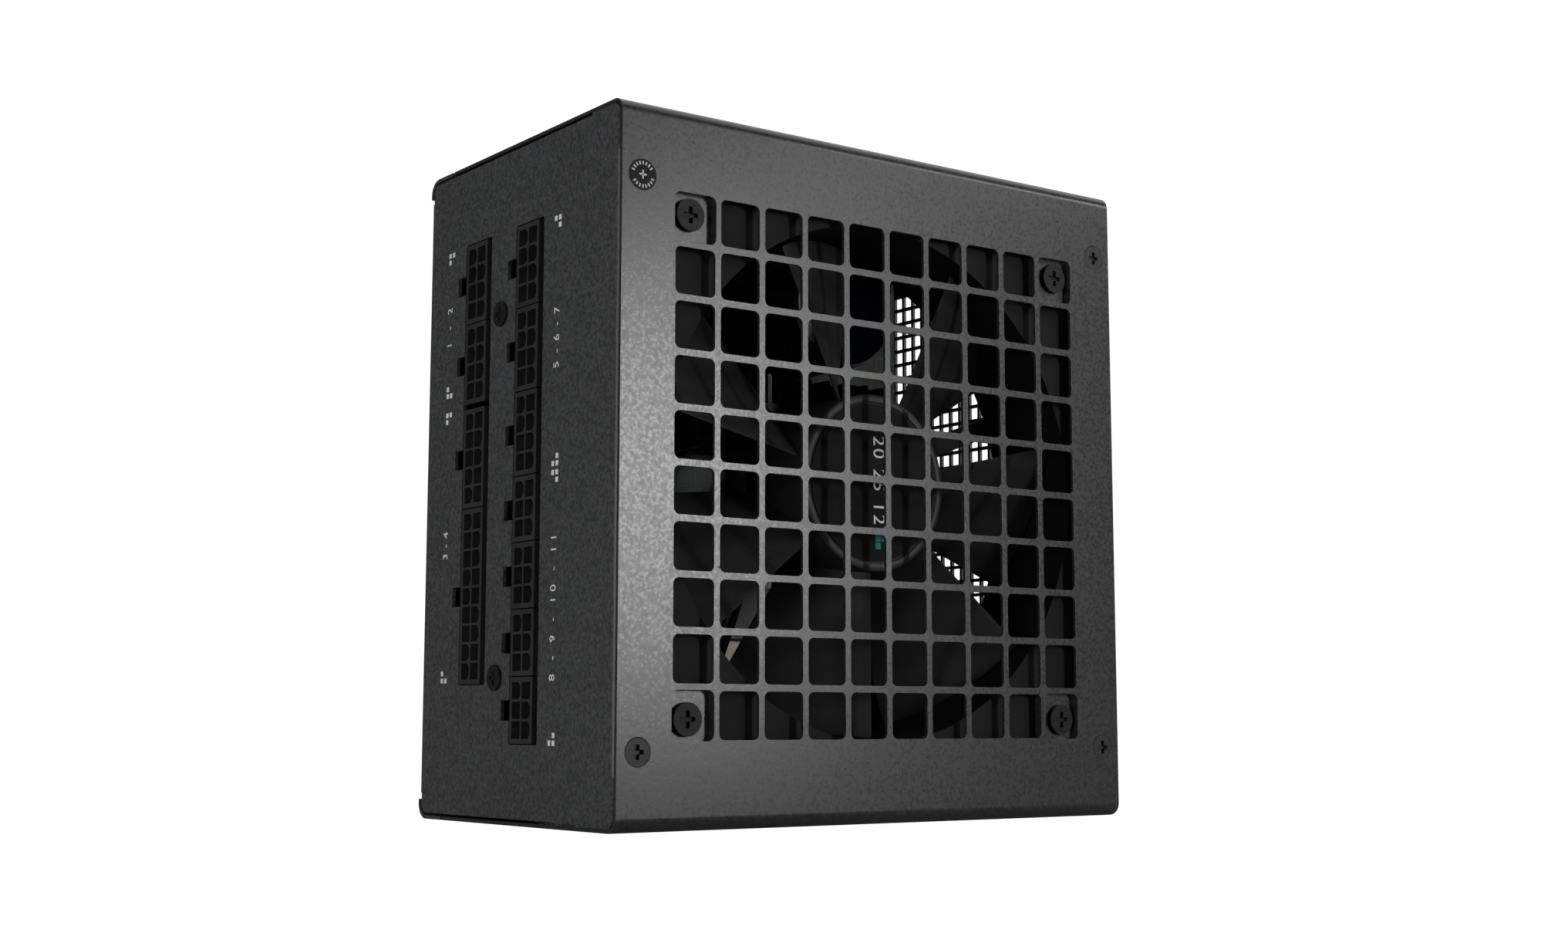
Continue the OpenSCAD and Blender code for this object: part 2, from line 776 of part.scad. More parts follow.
module panel_spacers() {
    color("#c9a64a") for (s = panel_screw_at)
        along_x(-half_l + sheet_t, sock_board_x0) translate([face_y + s[0], mid_z + s[1]]) difference() {
            circle(3.1, $fn = 6);
            circle(1.5);
        }
}

module panel_screws() {
    color("silver") for (s = panel_screw_at) translate([0, face_y + s[0], mid_z + s[1]]) {
        difference() {
            rod_x(0, 0, panel_head_r, -half_l - 0.7, -half_l);
            translate([-half_l - 0.7, 0, 0]) rotate([0, -90, 0]) cross_slot(3, 0.6);
        }
        rod_x(0, 0, 1.45, -half_l, -half_l + 6);
        // The screw from the board's side
        rod_x(0, 0, 2.6, sock_board_x1, sock_board_x1 + 1.6);
        rod_x(0, 0, 1.45, sock_board_x1 - 6, sock_board_x1);
    }
}

// Copper bars that carry current from the main board to the socket board
bar_at = [[46, 14], [24, 14], [2, 10], [-18, 14], [-40, 14]];
bar_t = 1.2;

module bus_bars() {
    y = board_y0 - 6;
    x1 = main_x0 + 5;
    color("#b87333") for (b = bar_at) {
        z0 = mid_z + b[0] - b[1] / 2;
        z1 = z0 + b[1];
        block([sock_board_x1, y, z0], [x1, y + bar_t, z1]);
        block([x1 - bar_t, y, z0], [x1, board_y0, z1]);
    }
}

// ---------- mains side ----------

// Inlet and switch are drawn lying, long side along Y, and turned to stand upright
module at_inlet() {
    translate([0, inlet_y, mains_z]) rotate([90, 0, 0]) children();
}

module at_switch() {
    translate([0, switch_y, mains_z]) rotate([90, 0, 0]) children();
}

// Cavity of the mains inlet, two corners cut
module inlet_cavity() {
    polygon([[-12.2, 8.2], [12.2, 8.2], [12.2, -3.8], [7.8, -8.2], [-7.8, -8.2], [-12.2, -3.8]]);
}

// Live, neutral and earth
inlet_pin_at = [[-7, -2], [7, -2], [0, 2]];

module ac_inlet() {
    color("#151515") at_inlet() {
        along_x(half_l, half_l + 2) difference() {
            soft_rect(31, 23.5, 2);
            inlet_cavity();
        }
        along_x(half_l - 14, half_l) difference() {
            soft_rect(27.6, 20, 0.9);
            inlet_cavity();
        }
        along_x(half_l - 20, half_l - 14) difference() {
            soft_rect(27.6, 20, 0.9);
            for (p = inlet_pin_at) translate(p) square([2.1, 4.1], center = true);
        }
        // Snap wedges behind the panel
        for (s = [0, 1]) mirror([0, s, 0])
            translate([0, 13.8, -4]) linear_extrude(8)
                polygon([[half_l - 7, 0], [half_l - sheet_t - 0.1, 0], [half_l - sheet_t - 0.1, 1.1]]);
    }
}

module inlet_pins() {
    color("silver") at_inlet() for (p = inlet_pin_at) translate([0, p[0], p[1]]) {
        block([half_l - 21, -1, -2], [half_l - 1, 1, 2]);
        block([half_l - 29, -0.4, -3.15], [half_l - 21, 0.4, 3.15]);
    }
}

rocker_cut_r = 9.35;
terminal_at = [-5.5, 5.5];

module switch_body() {
    color("#151515") at_switch() difference() {
        union() {
            along_x(half_l, half_l + 1.6) soft_rect(21, 15, 1);
            along_x(half_l - 17, half_l) soft_rect(19.4, 13, 0.5);
        }
        // Room for the rocker: round in the direction that it turns, flat above and below
        translate([rocker_x, 0, -6]) cylinder(r = rocker_cut_r, h = 12);
        rocker_axle(1.25, 12.9);
        for (t = terminal_at) block([half_l - 18, t - 0.5, -2.5], [half_l - 8, t + 0.5, 2.5]);
    }
}

// A rod on the rocker's axis
module rocker_axle(r, l) {
    translate([rocker_x, 0, -l / 2]) cylinder(r = r, h = l);
}

module switch_rocker() {
    color("#1a1a1a") at_switch() translate([rocker_x, 0, 0]) rotate([0, 0, -rocker_travel / 2])
        translate([-rocker_x, 0, 0]) {
            translate([rocker_x, 0, -rocker_half_z]) linear_extrude(2 * rocker_half_z) polygon([
                [3.2, -rocker_end], [2, -4.5], [1.6, 0], [2, 4.5], [3.2, rocker_end],
                [-1.5, 7.8], [-4.2, 3.2], [-4.2, -3.2], [-1.5, -7.8],
            ]);
            rocker_axle(1.2, 12.6);
        }
}

module switch_terminals() {
    color("silver") at_switch() for (t = terminal_at)
        block([half_l - 25, t - 0.4, -2.4], [half_l - 11.2, t + 0.4, 2.4]);
}

earth_z = mains_z + 19.5;

// Live to the switch and on to the board, neutral to the board, earth to the ring terminal
module mains_wires() {
    tab_x = half_l - 29;
    term_x = half_l - 25;
    color("#8a3b1e") wire([
        [tab_x, inlet_y + 2, mains_z - 7], [tab_x - 5, inlet_y + 3, mains_z - 8],
        [tab_x - 8, inlet_y + 10, mains_z - 9], [tab_x - 7, switch_y - 7, mains_z - 8],
        [tab_x - 2, switch_y - 2.4, mains_z - 6], [term_x, switch_y - 0.6, mains_z - 5.5],
    ], 1.2);
    color("#8a3b1e") wire([
        [term_x, switch_y, mains_z + 5.5], [term_x - 4, switch_y + 0.6, mains_z + 6],
        [term_x - 7, board_y0 - 4.5, mains_z + 7.5], [term_x - 7.5, board_y0, mains_z + 8],
    ], 1.2);
    color("#1f3f8a") wire([
        [tab_x, inlet_y + 2, mains_z + 7], [tab_x - 5, inlet_y + 3, mains_z + 9],
        [tab_x - 7, inlet_y + 9, mains_z + 14], [tab_x - 7, board_y0 - 14, mains_z + 17],
        [tab_x - 7, board_y0, mains_z + 17],
    ], 1.2);
    color("#5a8a1f") wire([
        [tab_x, inlet_y - 2, mains_z], [tab_x - 4, inlet_y - 2.6, mains_z + 3],
        [tab_x - 4, inlet_y - 2, mains_z + 12], [tab_x + 4, inlet_y - 1, earth_z - 1],
        [half_l - 15, inlet_y, earth_z], [half_l - 8.6, inlet_y, earth_z],
    ], 1.2);
}

// Crimped lug fixed flat to the inside of the mains panel
module earth_terminal() {
    color("silver") translate([0, inlet_y, earth_z]) {
        along_x(half_l - sheet_t - 0.8, half_l - sheet_t) circle(3.4);
        rod_x(0, 0, 1.7, half_l - 8.6, half_l - sheet_t - 0.8);
    }
}

// ---------- boards ----------

standoff_at = [
    [main_x0 + 6, main_z0 + 6], [main_x0 + 6, main_z1 - 6], [0, main_z1 - 6],
    [main_x1 - 6, mid_z - 8], [main_x1 - 6, main_z1 - 6], [-10, main_z0 + 6],
];

module main_board() {
    color("#23452c") along_y(board_y0, board_y1) difference() {
        translate([main_x0, main_z0]) square([main_x1 - main_x0, main_z1 - main_z0]);
        for (s = standoff_at) translate(s) circle(1.6);
    }
}

module board_standoffs() {
    color("#c9a64a") for (s = standoff_at) difference() {
        along_y(board_y1, bare_y) translate(s) circle(3.1, $fn = 6);
        rod_y(s[0], s[1], 1.5, board_y1 - 1, bare_y - 0.8);
    }
}

module board_screws() {
    color("silver") for (s = standoff_at) {
        difference() {
            rod_y(s[0], s[1], 2.8, board_y0 - 1.8, board_y0);
            translate([s[0], board_y0 - 1.8, s[1]]) rotate([90, 0, 0]) cross_slot(3.2, 1);
        }
        rod_y(s[0], s[1], 1.4, board_y0, board_y1 + 3.5);
    }
}

module insulation_sheet() {
    color("#d9d9d2") along_y(bare_y - 0.6, bare_y - 0.2) difference() {
        translate([main_x0 - 2, main_z0 + 1]) square([main_x1 - main_x0 + 3, main_z1 - main_z0 - 2]);
        for (s = standoff_at) translate(s) circle(4);
    }
}

// ---------- parts on the main board ----------

// An upright round can with a crimp near its foot
module round_can(r, h) {
    rotate_extrude() polygon([
        [0, 0], [r - 0.5, 0], [r, 0.5], [r, 2], [r - 0.6, 2.8], [r, 3.6],
        [r, h - 0.8], [r - 0.8, h], [0, h],
    ]);
}

module bulk_capacitor() {
    color("#16181c") on_board(16, mid_z + 47) round_can(bulk_r, bulk_h);
}

// E-shaped ferrite core, winding and bobbin of the main transformer
module transformer_core() {
    color("#3b3b3d") on_board(-12, mid_z - 28) difference() {
        translate([-18, -6, 3]) cube([36, 12, 34]);
        for (s = [-1, 1]) translate([s * 9.5 - 4, -7, 8]) cube([8, 14, 24]);
    }
}

module transformer_winding() {
    color("#caa63b") on_board(-12, mid_z - 28) difference() {
        translate([-13.3, -12.5, 8.2]) cube([26.6, 25, 23.6]);
        translate([-5.6, -6.1, 7]) cube([11.2, 12.2, 26]);
    }
}

module transformer_bobbin() {
    color("#202124") on_board(-12, mid_z - 28) {
        translate([-18, -14, 0]) cube([36, 28, 3]);
        for (s = [-1, 1]) translate([-13.3, s * 10.3 - 3.7, 3]) cube([26.6, 7.4, 5]);
    }
}

module standby_transformer() {
    color("#caa63b") on_board(-12, mid_z + 54) {
        translate([-9, -6, 0]) cube([18, 12, 3]);
        translate([-8, -8, 3]) cube([16, 16, 11]);
        translate([-9, -5, 14]) cube([18, 10, 3]);
    }
}

choke_x = 22;
choke_z = mid_z - 6;
choke_r = 16.5;

module pfc_choke() {
    color("#a85a24") on_board(choke_x, choke_z) translate([-7, 0, choke_r + 2]) rotate([0, 90, 0])
        rotate_extrude($fn = 96) translate([choke_r - 8, 0]) {
            translate([0, 2]) square([8, 10]);
            translate([2, 0]) square([4, 14]);
            for (x = [2, 6], y = [2, 12]) translate([x, y]) circle(2);
        }
}

module choke_cradle() {
    color("#202124") on_board(choke_x, choke_z) difference() {
        translate([-5, -11, 0]) cube([10, 22, 6]);
        translate([-8, 0, choke_r + 2]) rotate([0, 90, 0]) cylinder(r = choke_r + 0.02, h = 16, $fn = 96);
    }
}

// A finned extrusion that stands on the board: a back plate with fins on its +Z side
module finned_sink(w, fins) {
    color("#8f9498") linear_extrude(sink_h) {
        translate([-w / 2, 0]) square([w, 3]);
        for (i = [0:fins - 1]) translate([-w / 2 + i * (w - 1.2) / (fins - 1), 3]) square([1.2, 7]);
    }
}

sink_z = mid_z + 19;
sink_x = 8;

module primary_heatsink() {
    on_board(sink_x, sink_z) finned_sink(48, 9);
}

module secondary_heatsink() {
    on_board(-36, mid_z - 44) rotate(90) finned_sink(34, 7);
}

// Flat power packages clamped on the plain side of the primary heat sink
module power_transistors() {
    color("#141414") for (x = [-16, 0, 16]) on_board(sink_x + x, sink_z) {
        difference() {
            translate([-7.8, -5, 10]) cube([15.6, 5, 20]);
            translate([0, 1, 25.5]) rotate([90, 0, 0]) cylinder(r = 1.8, h = 8);
        }
        for (p = [-5, 0, 5]) translate([p - 0.6, -2.8, 0]) cube([1.2, 0.6, 10]);
    }
}

module transistor_screws() {
    color("silver") for (x = [-16, 0, 16]) on_board(sink_x + x, sink_z) translate([0, -5, 25.5])
        rotate([90, 0, 0]) {
            cylinder(r = 3, h = 2);
            translate([0, 0, -5]) cylinder(r = 1.5, h = 5);
        }
}

module rectifier_bridge() {
    color("#141414") on_board(38, mid_z - 22) {
        translate([-2, -11, 4]) cube([4, 22, 18]);
        for (p = [-7.5, -2.5, 2.5, 7.5]) translate([-0.4, p - 0.6, 0]) cube([0.8, 1.2, 4]);
    }
}

// Two common-mode chokes lying near the mains inlet
module line_filter_chokes() {
    color("#a85a24") for (p = [[28.5, 18], [main_x1 - 12, 50]]) on_board(p[0], p[1]) {
        rotate_extrude() translate([4.5, 0]) {
            translate([1.5, 0]) square([3.5, 9]);
            translate([0, 1.5]) square([6.5, 6]);
            for (x = [1.5, 5], y = [1.5, 7.5]) translate([x, y]) circle(1.5);
        }
    }
}

module x_capacitors() {
    color("#c9b037") {
        on_board(12.4, 19) translate([-4.5, -13, 0]) cube([9, 26, 17]);
        on_board(main_x1 - 4, mid_z + 5) translate([-3, -9, 0]) cube([6, 18, 12]);
    }
}

module y_capacitors() {
    color("#2f5fa8") for (p = [[11, 40], [17, 40], [24, 37]]) on_board(p[0], p[1]) {
        translate([-1.5, 0, 7]) rotate([0, 90, 0]) cylinder(r = 4, h = 3);
        for (s = [-2.4, 2.4]) translate([-0.3, s - 0.3, 0]) cube([0.6, 0.6, 4.4]);
    }
}

module output_capacitors() {
    color("#1c2a4a") {
        for (i = [0:6])
            on_board(main_x0 + 14, mid_z - 3 + i * 10.5) round_can(4, 16 + 2 * (i % 2));
        for (i = [0:4])
            on_board(main_x0 + 24.5, mid_z + 8 + i * 10.5) round_can(4, 20);
    }
}

module output_chokes() {
    color("#3f6b4b") for (p = [[-38, -18.5], [-22, -4]]) on_board(p[0], mid_z + p[1])
        rotate_extrude() translate([3, 0]) square([4.5, 8]);
}

module control_card() {
    color("#1f5c3a") on_board(-19, mid_z + 27) translate([-0.8, -16, 0]) cube([1.6, 32, 30]);
}

module control_chips() {
    color("#0e0e0e") on_board(-19, mid_z + 27) {
        translate([0.8, -9, 12]) cube([1.2, 10, 8]);
        translate([0.8, 5, 14]) cube([1.2, 6, 5]);
        translate([0.8, 4, 4]) cube([1.2, 8, 4]);
    }
}

module relay() {
    color("#1d2f57") on_board(main_x1 - 14, mid_z + 11) translate([-5, -9, 0]) cube([10, 18, 15]);
}

module thermistor() {
    color("#2c4a2f") on_board(main_x1 - 22, mid_z + 28) {
        translate([-2, 0, 10]) rotate([0, 90, 0]) cylinder(r = 6.5, h = 4);
        for (s = [-3, 3]) translate([-0.4, s - 0.4, 0]) cube([0.8, 0.8, 5]);
    }
}

// Glass fuse between two end caps in clips
module fuse() {
    color("silver") on_board(4, 18) {
        for (s = [-1, 1]) {
            translate([0, s * 8 - 2.5, 4.6]) rotate([-90, 0, 0]) cylinder(r = 2.6, h = 5);
            translate([-2.6, s * 8 - 2, 0]) cube([5.2, 4, 2.3]);
        }
        translate([0, -5.5, 4.6]) rotate([-90, 0, 0]) cylinder(r = 2.3, h = 11);
    }
}

fan_cover();
fan_grille();
base_shell();
seal_sticker();
cover_screws();
fan_screws();
fan_frame();
fan_rotor();
hub_badge();
rotor_yoke();
rotor_magnet();
rotor_shaft();
shaft_clip();
fan_bearing();
fan_stator();
fan_coils();
fan_board();
fan_lead();
sockets_8pin();
sockets_6pin();
socket_10pin();
socket_18pin();
socket_pins();
socket_board();
panel_screws();
panel_spacers();
bus_bars();
ac_inlet();
inlet_pins();
switch_body();
switch_rocker();
switch_terminals();
mains_wires();
earth_terminal();
main_board();
board_standoffs();
board_screws();
insulation_sheet();
bulk_capacitor();
transformer_core();
transformer_winding();
transformer_bobbin();
standby_transformer();
pfc_choke();
choke_cradle();
primary_heatsink();
secondary_heatsink();
power_transistors();
transistor_screws();
rectifier_bridge();
line_filter_chokes();
x_capacitors();
y_capacitors();
output_capacitors();
output_chokes();
control_card();
control_chips();
relay();
thermistor();
fuse();
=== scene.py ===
import json
import math

import bmesh
import bpy
from mathutils import Matrix, Vector


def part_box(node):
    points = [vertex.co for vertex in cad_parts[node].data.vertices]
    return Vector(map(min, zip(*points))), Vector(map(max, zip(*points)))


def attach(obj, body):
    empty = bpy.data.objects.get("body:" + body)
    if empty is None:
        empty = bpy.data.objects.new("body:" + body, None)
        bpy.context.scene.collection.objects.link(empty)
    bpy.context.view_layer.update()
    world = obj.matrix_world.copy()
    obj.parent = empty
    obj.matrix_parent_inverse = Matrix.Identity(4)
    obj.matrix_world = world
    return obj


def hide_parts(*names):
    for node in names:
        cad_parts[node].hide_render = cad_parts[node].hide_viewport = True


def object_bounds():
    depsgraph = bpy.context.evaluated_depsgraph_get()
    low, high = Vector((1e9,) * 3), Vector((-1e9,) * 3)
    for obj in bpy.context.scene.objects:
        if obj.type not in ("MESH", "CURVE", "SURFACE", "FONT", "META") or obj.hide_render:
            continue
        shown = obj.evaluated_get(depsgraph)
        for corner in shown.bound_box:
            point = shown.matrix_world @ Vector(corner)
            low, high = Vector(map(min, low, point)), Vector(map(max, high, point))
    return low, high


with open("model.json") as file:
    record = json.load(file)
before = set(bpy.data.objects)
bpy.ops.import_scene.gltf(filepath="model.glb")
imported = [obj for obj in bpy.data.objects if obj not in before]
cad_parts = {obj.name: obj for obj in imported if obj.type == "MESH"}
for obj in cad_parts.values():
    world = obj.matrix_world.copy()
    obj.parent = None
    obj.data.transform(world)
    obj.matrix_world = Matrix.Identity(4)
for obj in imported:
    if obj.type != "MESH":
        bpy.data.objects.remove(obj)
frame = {"nodes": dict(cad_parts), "record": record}
cadLow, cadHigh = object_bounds()
nodes = frame["nodes"]
behaviour = frame["record"]["behaviour"]
bodyOfNode = {node: body for body, members in behaviour["bodies"].items() for node in members}
slotOfNode = {part["node"]: part["material_slot"] for part in frame["record"]["subparts"]}
mm = 0.001
print("frame loaded:", len(nodes), "nodes")


# node tree helpers

def feed(tree, node, inputs):
    for name, value in inputs.items():
        if isinstance(value, bpy.types.NodeSocket):
            tree.links.new(value, node.inputs[name])
        else:
            node.inputs[name].default_value = value
    return node


def addNode(tree, kind, inputs=None, **settings):
    node = tree.nodes.new(kind)
    for name, value in settings.items():
        setattr(node, name, value)
    return feed(tree, node, inputs or {})


def addMath(tree, operation, a, b=0.5, clamp=False):
    return addNode(tree, "ShaderNodeMath", {0: a, 1: b}, operation=operation, use_clamp=clamp).outputs[0]


def addRange(tree, value, fromMin, fromMax, toMin, toMax):
    node = addNode(tree, "ShaderNodeMapRange", {0: value, 1: fromMin, 2: fromMax, 3: toMin, 4: toMax})
    return node.outputs[0]


def mixColor(tree, mask, first, second, blend="MIX"):
    node = addNode(tree, "ShaderNodeMix", data_type="RGBA", blend_type=blend)
    feed(tree, node, {0: mask, 6: first, 7: second})
    return node.outputs[2]


def objectPoint(tree, scale=(1, 1, 1)):
    coordinates = addNode(tree, "ShaderNodeTexCoord")
    mapping = addNode(tree, "ShaderNodeMapping", {"Vector": coordinates.outputs["Object"], "Scale": scale})
    return mapping.outputs[0]


def addNoise(tree, point, scale, detail, roughness=0.5):
    inputs = {"Vector": point, "Scale": scale, "Detail": detail, "Roughness": roughness}
    return addNode(tree, "ShaderNodeTexNoise", inputs).outputs[0]


def addBump(tree, height, depth):
    inputs = {"Height": height, "Distance": depth, "Strength": 1.0}
    return addNode(tree, "ShaderNodeBump", inputs).outputs[0]


# Every shared effect gives a normal and a tone
def startGroup(name, inputs):
    tree = bpy.data.node_groups.new(name, "ShaderNodeTree")
    for label, value in inputs.items():
        kind = "NodeSocketVector" if isinstance(value, tuple) else "NodeSocketFloat"
        tree.interface.new_socket(label, in_out="INPUT", socket_type=kind).default_value = value
    tree.interface.new_socket("Normal", in_out="OUTPUT", socket_type="NodeSocketVector")
    tree.interface.new_socket("Tone", in_out="OUTPUT", socket_type="NodeSocketFloat")
    return tree, tree.nodes.new("NodeGroupInput").outputs, tree.nodes.new("NodeGroupOutput")


def useGroup(tree, group, inputs):
    node = tree.nodes.new("ShaderNodeGroup")
    node.node_tree = group
    return feed(tree, node, inputs).outputs


# shared surface effects

# Orange peel of a powder coat: fine grain over rounded pebbles
def makePeelGroup():
    tree, inside, outside = startGroup("powderPeel", {"Grain": 1300, "Depth": 0.00002, "Fleck": 0.1})
    point = objectPoint(tree)
    fine = addNoise(tree, point, inside["Grain"], 2.5, 0.6)
    pebbleScale = addMath(tree, "MULTIPLY", inside["Grain"], 0.62)
    pebbleInputs = {"Vector": point, "Scale": pebbleScale, "Smoothness": 0.7}
    pebble = addNode(tree, "ShaderNodeTexVoronoi", pebbleInputs, feature="SMOOTH_F1")
    pebbleHeight = addMath(tree, "MULTIPLY", pebble.outputs["Distance"], -0.55)
    height = addMath(tree, "ADD", fine, pebbleHeight)
    low = addMath(tree, "SUBTRACT", 1.0, inside["Fleck"])
    high = addMath(tree, "ADD", 1.0, inside["Fleck"])
    tone = addRange(tree, fine, 0.36, 0.64, low, high)
    feed(tree, outside, {"Normal": addBump(tree, height, inside["Depth"]), "Tone": tone})
    return tree


# Spark-eroded grain of a mould, with a slow drift in tone
def makeMouldGroup():
    tree, inside, outside = startGroup("mouldGrain", {"Grain": 4000, "Depth": 0.000006, "Cloud": 60})
    point = objectPoint(tree)
    fine = addNoise(tree, point, inside["Grain"], 2.0)
    cloud = addNoise(tree, point, inside["Cloud"], 3.0)
    tone = addRange(tree, cloud, 0.3, 0.7, 0.0, 1.0)
    feed(tree, outside, {"Normal": addBump(tree, fine, inside["Depth"]), "Tone": tone})
    return tree


# Drawing or brushing lines, stretched along one axis
def makeBrushGroup():
    tree, inside, outside = startGroup("brushLines", {"Stretch": (60, 2500, 2500), "Depth": 0.000004})
    lines = addNoise(tree, objectPoint(tree, inside["Stretch"]), 1.0, 2.0)
    tone = addRange(tree, lines, 0.3, 0.7, 0.0, 1.0)
    feed(tree, outside, {"Normal": addBump(tree, lines, inside["Depth"]), "Tone": tone})
    return tree


# Round wires side by side; the Tone output is also used as painted shade, darkest in the valleys between
# turns
def makeTurnsGroup():
    tree, inside, outside = startGroup("windingTurns", {"Turns": (0, 0, 900), "Depth": 0.0002})
    parts = addNode(tree, "ShaderNodeSeparateXYZ", {0: objectPoint(tree, inside["Turns"])}).outputs
    phase = addMath(tree, "ADD", addMath(tree, "ADD", parts[0], parts[1]), parts[2])
    wave = addMath(tree, "ABSOLUTE", addMath(tree, "SINE", phase))
    feed(tree, outside, {"Normal": addBump(tree, wave, inside["Depth"]), "Tone": wave})
    return tree


peelGroup = makePeelGroup()
mouldGroup = makeMouldGroup()
brushGroup = makeBrushGroup()
turnsGroup = makeTurnsGroup()


def newMaterial(name, settings):
    material = bpy.data.materials.new(name)
    material.use_nodes = True
    tree = material.node_tree
    shader = tree.nodes["Principled BSDF"]
    feed(tree, shader, settings)
    return material, tree, shader


def shade(color, factor):
    return (color[0] * factor, color[1] * factor, color[2] * factor, 1)


def powderCoat(name, color, roughness, grain, depth, fleck):
    material, tree, shader = newMaterial(name, {"Roughness": roughness, "Specular IOR Level": 0.5})
    peel = useGroup(tree, peelGroup, {"Grain": grain, "Depth": depth, "Fleck": fleck})
    tint = addNode(tree, "ShaderNodeCombineColor", {0: peel["Tone"], 1: peel["Tone"], 2: peel["Tone"]})
    base = mixColor(tree, 1.0, shade(color, 1), tint.outputs[0], "MULTIPLY")
    rough = addRange(tree, peel["Tone"], 1 - fleck, 1 + fleck, roughness - 0.03, roughness + 0.05)
    feed(tree, shader, {"Base Color": base, "Roughness": rough, "Normal": peel["Normal"]})
    return material


def moulded(name, color, roughness, grain=4000, depth=0.000006, coat=0.0, shine=0.5):
    material, tree, shader = newMaterial(name, {"Roughness": roughness, "Specular IOR Level": shine})
    feed(tree, shader, {"Coat Weight": coat, "Coat Roughness": 0.2})
    mould = useGroup(tree, mouldGroup, {"Grain": grain, "Depth": depth})
    base = mixColor(tree, mould["Tone"], shade(color, 0.88), shade(color, 1.12))
    rough = addRange(tree, mould["Tone"], 0, 1, roughness - 0.04, roughness + 0.05)
    feed(tree, shader, {"Base Color": base, "Roughness": rough, "Normal": mould["Normal"]})
    return material


def brushedMetal(name, color, roughness, stretch=(60, 2500, 2500), depth=0.000004):
    material, tree, shader = newMaterial(name, {"Metallic": 1.0, "Roughness": roughness})
    brush = useGroup(tree, brushGroup, {"Stretch": stretch, "Depth": depth})
    base = mixColor(tree, brush["Tone"], shade(color, 0.85), shade(color, 1.1))
    rough = addRange(tree, brush["Tone"], 0, 1, roughness - 0.06, roughness + 0.08)
    feed(tree, shader, {"Base Color": base, "Roughness": rough, "Normal": brush["Normal"]})
    return material


def woundWire(name, color, turns, depth=0.0002):
    material, tree, shader = newMaterial(name, {"Metallic": 0.75, "Roughness": 0.34, "Coat Weight": 0.4})
    winding = useGroup(tree, turnsGroup, {"Turns": turns, "Depth": depth})
    # painted shade: the valleys between turns are darkened to 0.3 of the wire colour and the crests
    # lightened to 1.1
    base = mixColor(tree, winding["Tone"], shade(color, 0.3), shade(color, 1.1))
    feed(tree, shader, {"Base Color": base, "Normal": winding["Normal"]})
    return material


# Solder mask with raised tracks along the edges of square cells
def boardLaminate(name, mask, track):
    material, tree, shader = newMaterial(name, {"Roughness": 0.38, "Coat Weight": 0.3})
    point = objectPoint(tree)
    cells = addNode(
        tree, "ShaderNodeTexVoronoi", {"Vector": point, "Scale": 190}, feature="DISTANCE_TO_EDGE",
        distance="CHEBYCHEV",
    )
    edges = addRange(tree, cells.outputs["Distance"], 0.05, 0.07, 1.0, 0.0)
    weave = addRange(tree, addNoise(tree, point, 2600, 1.0), 0.4, 0.6, 0.0, 0.25)
    base = mixColor(tree, edges, shade(mask, 1), shade(track, 1))
    speck = mixColor(tree, weave, base, shade(mask, 0.6))
    feed(tree, shader, {"Base Color": speck, "Normal": addBump(tree, edges, 0.00004)})
    return material


